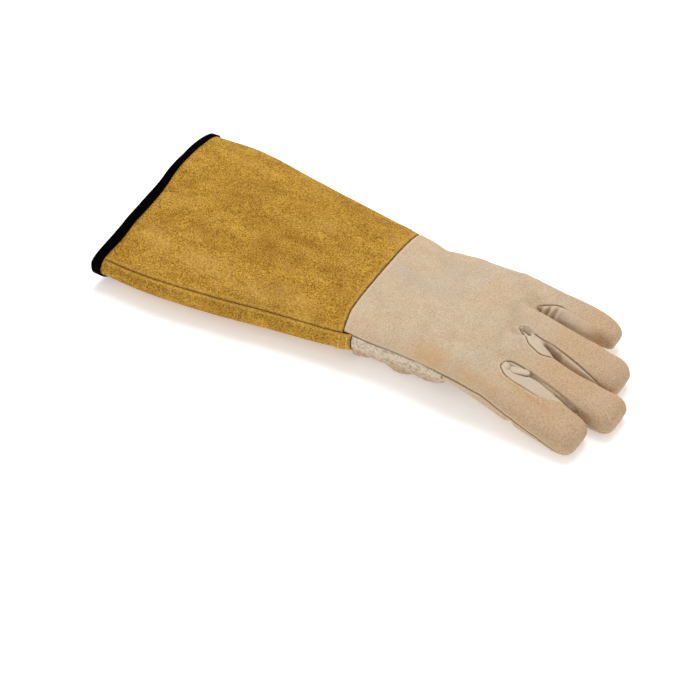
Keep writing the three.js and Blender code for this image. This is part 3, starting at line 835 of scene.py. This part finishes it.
# Each leather's rule is above zero on it. A place belongs to the first leather here whose rule holds.
LEATHERS = {"hand_back": back_side}
LEATHERS |= {f"fourchette_{a[0]}_{b[0]}": strip_side(a, b) for a, b in zip(FINGERS, FINGERS[1:])}
LEATHERS |= {name: partial(within, outline) for name, outline in AREAS.items()}
RULES = list(LEATHERS.values())


def owners(points):
    """The number of the leather that each point belongs to: the palm is the last."""
    made = np.full(len(points), len(RULES))
    for number in reversed(range(len(RULES))):
        made[RULES[number](points) > 0] = number
    made[cuff_side(points) <= 0] = -1
    return made


CUT_REACH = 8  # only edges this near to a seam are cut
SNAP = 0.22  # a point this near to it, as a share of the edge, moves onto it instead


def cut_along(mesh, rule, first):
    """Adds edges where a rule crosses zero, only on what the rules before it have left."""
    points = in_mm([v.co[:] for v in mesh.verts])
    value = rule(points)
    for before in first:
        value = np.where(before(points) > 0.6, CUT_REACH + 1, value)

    def crossing(edge):
        a, b = (value[v.index] for v in edge.verts)
        return a / (a - b) if a * b < 0 and max(abs(a), abs(b)) < CUT_REACH else None

    mesh.verts.index_update()
    snapped = {}
    for edge in mesh.edges:
        t = crossing(edge)
        if t is None:
            continue
        a, b = edge.verts
        if t < SNAP and (a not in snapped or t < snapped[a][0]):
            snapped[a] = (t, a.co.lerp(b.co, t))
        elif t > 1 - SNAP and (b not in snapped or 1 - t < snapped[b][0]):
            snapped[b] = (1 - t, a.co.lerp(b.co, t))
    for vert, (t, place) in snapped.items():
        vert.co = place
        value[vert.index] = 0
    on_line = list(snapped)
    for edge in list(mesh.edges):
        t = crossing(edge)
        if t is not None:
            on_line.append(bmesh.utils.edge_split(edge, edge.verts[0], t)[1])
            value = np.append(value, 0.0)
            on_line[-1].index = len(value) - 1
    bmesh.ops.connect_verts(mesh, verts=on_line)


mesh = bmesh.new()
mesh.from_mesh(skin.data)
cut_along(mesh, cuff_side, [])
for number, rule in enumerate(RULES):
    cut_along(mesh, rule, RULES[:number])
owner = owners(in_mm([f.calc_center_median()[:] for f in mesh.faces]))
bmesh.ops.delete(mesh, geom=[f for f, o in zip(mesh.faces, owner) if o < 0], context="FACES")


def seam_marks(mesh, owner_layer):
    """The places of all points where two leathers meet or one ends."""
    marks = []
    for edge in mesh.edges:
        faces = edge.link_faces
        if len(faces) == 1 or faces[0][owner_layer] != faces[1][owner_layer]:
            marks += [v.co[:] for v in edge.verts]
    return in_mm(marks)


owner_layer = mesh.faces.layers.int.new("owner")
for face, number in zip(mesh.faces, owner[owner >= 0]):
    face[owner_layer] = int(number)


def subdivide_near(mesh, places, reach):
    """Divides the edges once more that have both ends this near to one of the places."""
    distance = distance_to(in_mm([v.co[:] for v in mesh.verts]), places)
    mesh.verts.index_update()
    close = [e for e in mesh.edges if max(distance[v.index] for v in e.verts) < reach]
    bmesh.ops.subdivide_edges(mesh, edges=close, cuts=1, use_grid_fill=True)


CROTCHES = np.array((
    # where the leather bends most sharply between two fingers: x, y and z
    (326, -34, 30), (333, -33, 28), (341, -33, 26), (321, 8, 30), (330, 5, 28), (340, 1, 27), (348, 0, 25),
    (321, 37, 27), (331, 38, 27),
))
subdivide_near(mesh, seam_marks(mesh, owner_layer), 2.6)
subdivide_near(mesh, CROTCHES, 10)
marks = seam_marks(mesh, owner_layer)
mesh.to_mesh(skin.data)
mesh.free()

RELIEF = (
    # where the leather of the back rises or, below zero, sinks: a path in plan, its width and its height
    (((226, 66), (233, 53), (241, 40), (250, 26)), 6, -2.0),
    (((238, 68), (256, 63)), 8, 1.5),
    (((262, -38), (269, -50), (272, -60)), 5, -0.9),
    (((298, -18), (316, -27)), 6, -0.8),
    (((298, 16), (312, 11)), 6, -0.8),
    (((298, 42), (313, 38)), 6, -0.8),
    (((345, -58), (372, -61)), 4, -0.4),
    (((343, 4), (348, 2.6), (354, 0.8)), 2, -6),
    (((345, -28.4), (353, -29.4), (361, -30.9), (370, -32.3), (380, -33.8), (389, -35.6)), 1.3, -5),
    (((352, 52), (372, 49)), 5, -0.6),
    # the crotch of the middle finger: a ring of leather with a slit in it
    (((318.8, 7.8), (321, 9.4), (325.6, 8.8), (329, 7.4)), 1.2, 0.9),
    (((321.4, 8), (324, 7.7), (327.4, 6.6)), 1.0, -6),
)
DRAWN_IN = (
    # x, and how far the wall below the seam draws in there on the thumb's side
    (206, 0), (214, 0.5), (222, 4), (230, 8.5), (238, 7.5), (246, 2.8), (256, 2.8), (265, 5.5), (277, 1.5),
    (286, -1), (300, 0),
)
points = points_of(skin)
x, y, z = points.T
drawn = (x > DRAWN_IN[0][0]) & (x < DRAWN_IN[-1][0])
points[:, 1] += row_at(DRAWN_IN, x)[0] * ease((19 - z) / 13) * ease((-40 - y) / 12) * drawn
top = ease((z - middle(x, y) + 1) / 4)
for path, width, height in RELIEF:
    points[:, 2] += height * beside(points, path, width) * top
put_points(skin, points)

# The leathers are a little uneven: the side strips crease, the ball of the thumb and the fingertips are pebbly, and
# beside a seam the leather puffs up before it rolls in.
CREASES = (
    # across the ring finger's side strip: x, width and height
    (322.5, 1.6, 0.8), (325.6, 1.1, -1.4), (328.6, 1.5, 0.9), (331.4, 1.0, -0.8), (334.6, 1.6, 0.5),
)

points = points_of(skin)
x, y, z = points.T
owner = owners(points)
facing = outwards(skin)
distance = distance_to(points, marks)
ball_leather = owner == list(LEATHERS).index("thumb_outer")
side_strip = (owner >= 1) & (owner <= 3)
lying = 1 - np.clip(-facing[:, 2] * 2, 0, 1) * (z < 1)
waves = 0.5 * bumps(points, 34, 4) + 0.25 * bumps(points, 13, 5)
creases = 0.45 * bumps(points * (1, 0.5, 1), 6, 7) * side_strip
wall = side_strip * ease((y - 32) / 2) * ease((344 - x) / 10)
for at_x, width, height in CREASES:
    creases += 2.0 * wall * height * hump(x - at_x - 0.25 * (z - 24), 0, width)
creases += 0.16 * bumps(points, 5.5, 11) * (owner == 0)
pebbles = (0.5 - np.abs(bumps(points, 3.2, 9))) * ball_leather + bumps(points, 12, 10) * ball_leather * 0.9
pebbles += 0.7 * bumps(points, 13, 12) * ease((x - 372) / 20)
dent = np.exp(-(((x - 348.5) / 3) ** 2 + ((y + 67) / 8) ** 2 + ((z - 9) / 10) ** 2))
pebbles -= 2.4 * dent
pucker = 0.3 * bumps(points, 3.0, 6) * np.exp(-distance / 3)
puff = 0.22 * hump(distance, 2.4, 1.5)

# The seam of a side strip fades out towards the fingertip, where the strip has become flush with the back.
faint = np.maximum.reduce((
    mix(0.45, 1, ease((x - 352) / 14)) * (x > 334) * (y > -48) * (y < -34.5) * (z > middle(x, y) + 4),
    ease((x - 350) / 4) * (y > -9) * (y < -2) * (z > middle(x, y) + 4),
    ease((x - 333) / 8) * (y > 30),
    0.6 * ease((x - 384) / 6),
))
strength = (1 - faint) * np.where(z > front_seam(x, y) - 3, 1, 0.8)
push = (waves + creases + pebbles) * rising(distance, 0, 5) + (pucker + puff) * strength
push = push * lying - rolled(distance, 0.75, 1.3) * strength
under_cuff = (z < back_seam(np.maximum(x, SEAM_START), y)) * ease((palm_end(y) + 9 - x) / 7)
push -= 0.7 * under_cuff
points += facing * push[:, None]
settle(skin, points)

# The material reads these values: where the seams are, with painted shade and some dirt along them, and the lips
# beside them, with a painted highlight; which parts are pale, knobbly, tan, grey or full of pores; painted light on
# the walls low in the finger gaps; and painted shade on the underside of the ball of the thumb.
TAN = (
    # a path in plan, the patch's width, and how strong it is
    (((272, -56), (285, -58)), 9, 1),
    (((300, -58), (330, -60)), 7, 0.7),
    # a crease along the top of the index finger, partly painted shade of its fold
    (((330, -46), (372, -52)), 2.2, 0.8),
)
# Greyish patches on the back: the first is painted shade in the dent at the wrist on the little finger's side.
GREY = (
    (((230, 60), (238, 47), (250, 30)), 9, 1),
    (((214, 12), (240, 4), (262, 10)), 8, 1),
    (((308, 20), (322, 10)), 6, 1),
)
strip_end = np.where(y < -15, 378, np.where(y < 17, 358, 362))
near_strip = side_strip * ease((strip_end - x) / 22) * np.where(y < 17, 1, 0.6)
# Painted shade in the hollow between the middle and ring fingers, and in the crotch between the ring and little
# fingers.
hollow_shade = beside(points, ((337, 6), (343, 4), (348, 2.6), (355, 0.6)), 1.8) * side_strip * ease((30 - z) / 3)
hollow_shade = np.maximum(hollow_shade, beside(points, ((318.6, 36.9), (321, 37)), 1.6))
outer_ball = ball_leather * ease((-36 - y) / 14)
thumb_end = hump(x, 290, 12) * (y < -48) * (z < back_seam(x, y) - 1.5)
# A dark line along every seam, painted shade of its groove with some dirt, wider at the end of the thumb's strip.
line = hump(distance, 0, mix(0.55, 1.1, thumb_end)) * np.maximum(strength, thumb_end)
gap_wall_light_end = np.where(y > 30, ease((371 - x) / 18), 1)
for name, values in {
    "seam": np.maximum(line, 0.8 * hollow_shade),
    # a painted highlight on the lips beside the seams
    "lip_highlight": hump(distance, 1.7, 0.8) * strength,
    "pale": np.maximum(near_strip, 0.9 * outer_ball),
    "knobbly": outer_ball,
    # painted light on the walls of the side strips, low in the finger gaps
    "gap_wall_light": side_strip * ease((x - 334) / 14) * ease((29 - z) / 11) * gap_wall_light_end,
    # painted shade on the lower side of the ball of the thumb
    "ball_underside_shade": outer_ball * ease((25 - z) / 13),
    # tan patches, and a tan tint over the side strips that partly paints a warm shade on them
    "tan": patched(points, TAN) * (owner == 0) + 0.4 * side_strip,
    # greyish patches, the first of them painted shade in the wrist's dent
    "grey": patched(points, GREY) * (owner == 0),
    "pores": ease((x - 318) / 50) * (1 - 0.6 * side_strip * gap_wall_light_end),
}.items():
    add_values(skin, name, values)

# Grain pigskin: undyed and buffed matt. It is pale beige that turns greyish, pinkish and tan in patches, two of
# them painted shade in a dent and a fold, with a speckle that is drawn 1 mm wide to show. Its bristle pores are
# brown pinpricks nearly 2 mm apart, most of all on the fingertips, and on the ball of the thumb the grain is in
# pebbles of
# 2 mm, with painted shade in their hollows.
pigskin, surface = new_material("buffed_grain_pigskin", 0.82, 0.18)
at = node(pigskin, "TexCoord").outputs["Object"]
patches, blotches, speckle = [
    node(pigskin, "TexNoise", {0: at}, scale=scale, detail=detail, roughness=rough, distortion=twist)
    for scale, detail, rough, twist in ((21, 3, 0.55, 0.6), (85, 4, 0.6, 0.4), (1050, 4, 0.75, 0))
]
tone = patterned(pigskin, (
    (patches, 1, (0.36, "#BBAD99"), (0.63, "#CBAA86")),
    (blotches, 0.5, (0.33, "#BC9E81"), (0.66, "#CDBDA0")),
    (speckle, 0.37, (0.38, "#8F6C47"), (0.62, "#E8D8BE")),
))
full_of_pores = node(pigskin, "Attribute", attribute_name="pores").outputs["Fac"]
knobbly = node(pigskin, "Attribute", attribute_name="knobbly").outputs["Fac"]
cells = node(pigskin, "TexVoronoi", {0: at}, scale=600, feature="F1")
pore = node(pigskin, "MapRange", {0: cells}, from_min=0.14, from_max=0.42, to_min=1.0, to_max=0.0)
groups = node(pigskin, "MapRange", {0: blotches}, from_min=0.35, from_max=0.5)
pore = node(pigskin, "Math", {0: pore, 1: groups}, operation="MULTIPLY")
spread = node(pigskin, "MapRange", {0: full_of_pores}, to_min=0.1, to_max=0.72)
pore = node(pigskin, "Math", {0: pore, 1: spread}, operation="MULTIPLY")
knobs = node(pigskin, "TexVoronoi", {0: at}, scale=530, feature="SMOOTH_F1")
# Painted shade in the hollows between the pebbles of the ball of the thumb.
hollows = node(pigskin, "MapRange", {0: knobs}, from_min=0.3, from_max=0.65)
hollows = node(pigskin, "Math", {0: hollows, 1: knobbly}, operation="MULTIPLY")
tone = tinted(pigskin, tone, (
    # tan patches, and a tan tint over the side strips that partly paints a warm shade on them
    ("tan", 0.5, "#BE9461"),
    # greyish patches, the first of them painted shade in the wrist's dent
    ("grey", 0.3, "#AEA695"),
    ("pores", 0.3, "#C09468"),
    ("pale", 0.62, "#CFC2B0"),
    # painted light on the walls of the side strips, low in the finger gaps
    ("gap_wall_light", 0.6, "#EEDFCB"),
    (pore, 1, "#A97446"),
    # a painted highlight on the lips beside the seams
    ("lip_highlight", 0.3, "#DCCBB2"),
    # painted shade with some dirt along the seams, and in two hollows beside the ring finger
    ("seam", 0.7, "#74461C"),
    ("knobbly", 0.5, "#E3D5C0"),
    # painted shade on the lower side of the ball of the thumb
    ("ball_underside_shade", 0.55, "#A87F56"),
    # painted shade in the hollows between the pebbles
    (hollows, 0.52, "#8F6B48"),
))
pigskin.node_tree.links.new(tone, surface.inputs["Base Color"])


def cut_copy(piece, cut):
    made = piece.copy()
    made.data = piece.data.copy()
    bpy.context.collection.objects.link(made)
    mesh = bmesh.new()
    mesh.from_mesh(made.data)
    cut(mesh)
    mesh.to_mesh(made.data)
    mesh.free()
    return made


def take_leather(number):
    """A copy of the skin that keeps only one leather."""

    def cut(mesh):
        layer = mesh.faces.layers.int["owner"]
        bmesh.ops.delete(mesh, geom=[f for f in mesh.faces if f[layer] != number], context="FACES")

    return cut_copy(skin, cut)


def finish_leather(piece, name):
    """Gives a hand piece its thickness, its finish and its place in the model."""
    piece.name = name + "_leather"
    apply_modifier(piece, "SOLIDIFY", thickness=HAND_WALL / 1000, offset=-1)
    settle(piece, points_of(piece))
    dress(piece, pigskin)
    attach(piece, "root")
    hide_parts(name)


thumb_skin = closed_tube("skin_thumb", 70, 60, thumb_place)
apply_modifier(thumb_skin, "REMESH", mode="VOXEL", voxel_size=0.0012, adaptivity=0)
apply_modifier(thumb_skin, "SMOOTH", factor=0.5, iterations=2)


def thumb_half(upper):
    def cut(mesh):
        every = mesh.verts[:] + mesh.edges[:] + mesh.faces[:]
        seam = (0, 0, THUMB_SEAM / 1000)
        bmesh.ops.bisect_plane(
            mesh, geom=every, plane_co=seam, plane_no=(0, 0, 1), clear_inner=upper, clear_outer=not upper,
        )

    made = cut_copy(thumb_skin, cut)
    points = points_of(made)
    push = -rolled(np.abs(points[:, 2] - THUMB_SEAM), 1.0, 2.0)
    points += outwards(made) * push[:, None]
    settle(made, points)
    return made


for number, name in enumerate([*LEATHERS, "palm_front"]):
    piece = take_leather(number)
    if name == "thumb_outer":
        piece = joined([piece, thumb_half(False)])
    finish_leather(piece, name)
finish_leather(thumb_half(True), "thumb_inner")
bpy.data.objects.remove(skin)
bpy.data.objects.remove(thumb_skin)

# The end of the index finger's side strip is bunched up in the crotch: a small bulb of leather, and right of it a
# tongue that lies over the gap. They belong to that strip's leather.
FOLD_WALL = 1.1
FOLDS = (
    # four corners, and how far the middle is domed up
    (((324.6, -34, 30.2), (325.4, -28.6, 29), (330.4, -31.6, 29.8), (330.8, -39.4, 32.2)), 2.2),
    (((328.8, -30.6, 29.2), (343.6, -26.2, 27.6), (346.8, -32.6, 29.6), (334.2, -38.8, 32.2)), 0.8),
)


def leather_fold(corners, dome):
    def place(u, v):
        a, b = 2 * u - 1, 2 * v - 1
        domed = np.sqrt(np.clip((1 - a**4) * (1 - b**4), 0, 1))
        across, along = a * np.sqrt(1 - b * b / 2), b * np.sqrt(1 - a * a / 2)
        a, b = (0.6 * across + 0.4 * a + 1) / 2, (0.6 * along + 0.4 * b + 1) / 2
        a, b = a[:, None], b[:, None]
        first, second, third, fourth = np.array(corners)
        points = mix(mix(first, second, a), mix(fourth, third, a), b)
        points[:, 2] += dome * domed + 0.5 * bumps(points, 5, 14)
        return points

    made = shaped_grid("fold", 30, 22, place)
    rim = distance_to(points_of(made), edge_points(made))
    add_values(made, "pale", np.full(len(made.data.vertices), 0.8))
    # Painted shade round the fold's rim, where it stands over the leather below.
    add_values(made, "seam", hump(rim, 0, 0.5))
    apply_modifier(made, "SOLIDIFY", thickness=FOLD_WALL / 1000, offset=-1)
    dress(made, pigskin)
    return made


folds = [leather_fold(corners, dome) for corners, dome in FOLDS]
joined([bpy.data.objects["fourchette_index_middle_leather"]] + folds)

# Stitches: pale yellow cotton thread. Two rows hold the palm panel's end on the hand, 2.4 and 8.6 mm from its edge,
# and a few stitches show on the cuff's seam near the opening and in the crotch of the ring finger.
STITCH_LENGTH = 2.3
STITCH_GAP = 0.9
THREAD = 0.42  # half its thickness
ARCH = 0.3  # how high a stitch stands off the leather in its middle
SUNK = 0.12  # how deep its ends lie in it
LOWEST = -0.15
RINGS = 5
SIDES = 6

# Cotton thread, twisted and waxed: matt, with a little sheen.
cotton_thread, surface = new_material("cotton_thread", 0.7, 0.25)
surface.inputs["Base Color"].default_value = linear("#E3CC77")


def stitch(mesh, start, end, facing):
    """One arched stitch of thread, a six-sided tube whose ends go into the leather."""
    along = (end - start).normalized()
    across = along.cross(facing).normalized()
    rings = []
    for i in range(RINGS):
        t = i / 2 - 1
        centre = start.lerp(end, i / (RINGS - 1)) + facing * (ARCH * (1 - t * t) - SUNK)
        thick = THREAD * (1 - 0.45 * t * t)
        ring = []
        for k in range(SIDES):
            turn = k * math.pi / 3
            place = centre + (across * math.cos(turn) + facing * math.sin(turn)) * thick
            place.z = max(place.z, LOWEST)
            ring.append(mesh.verts.new((place - Vector(ORIGIN)) / 1000))
        rings.append(ring)
    for one, other in zip(rings[:-1], rings[1:]):
        for k in range(SIDES):
            mesh.faces.new((one[k], one[(k + 1) % SIDES], other[(k + 1) % SIDES], other[k]))
    mesh.faces.new(rings[0][::-1])
    mesh.faces.new(rings[-1])


def stitch_row(mesh, piece, path):
    """Stitches along a path, in mm, on the nearest surface of a piece."""
    tree = BVHTree.FromObject(piece, bpy.context.evaluated_depsgraph_get())
    run = np.concatenate(([0], np.cumsum(np.linalg.norm(np.diff(path, axis=0), axis=1))))
    for begin in np.arange(0.5, run[-1] - STITCH_LENGTH, STITCH_LENGTH + STITCH_GAP):
        ends = []
        for at in (begin, begin + STITCH_LENGTH):
            near = Vector([np.interp(at, run, path[:, axis]) for axis in range(3)])
            place, facing = tree.find_nearest((near - Vector(ORIGIN)) / 1000)[:2]
            ends.append(place * 1000 + Vector(ORIGIN))
        stitch(mesh, ends[0], ends[1], facing)


mesh = bmesh.new()
angles = np.linspace(SEAM_AT_LITTLE + TURN - 0.03, SEAM_AT_THUMB + 0.03, 240)
cut_edge = palm_end(y_round(HEM_SECTION, angles))
for from_edge in (2.4, 8.6):
    stitch_row(mesh, cuff_palm, body_surface(cut_edge - from_edge, angles, -1))
for x in (33.6, 41):
    stitch_row(mesh, cuff_back, np.array(((x, -75.5, 33), (x + 3.6, -75.5, 33))))
ring_strip = bpy.data.objects["fourchette_ring_little_leather"]
stitch_row(mesh, ring_strip, np.array(((316, 36.6, 30), (319.4, 36.9, 29.4))))
bmesh.ops.recalc_face_normals(mesh, faces=mesh.faces[:])
stitches = bpy.data.objects.new("stitches", bpy.data.meshes.new("stitches"))
mesh.to_mesh(stitches.data)
mesh.free()
bpy.context.collection.objects.link(stitches)
dress(stitches, cotton_thread)
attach(stitches, "root")
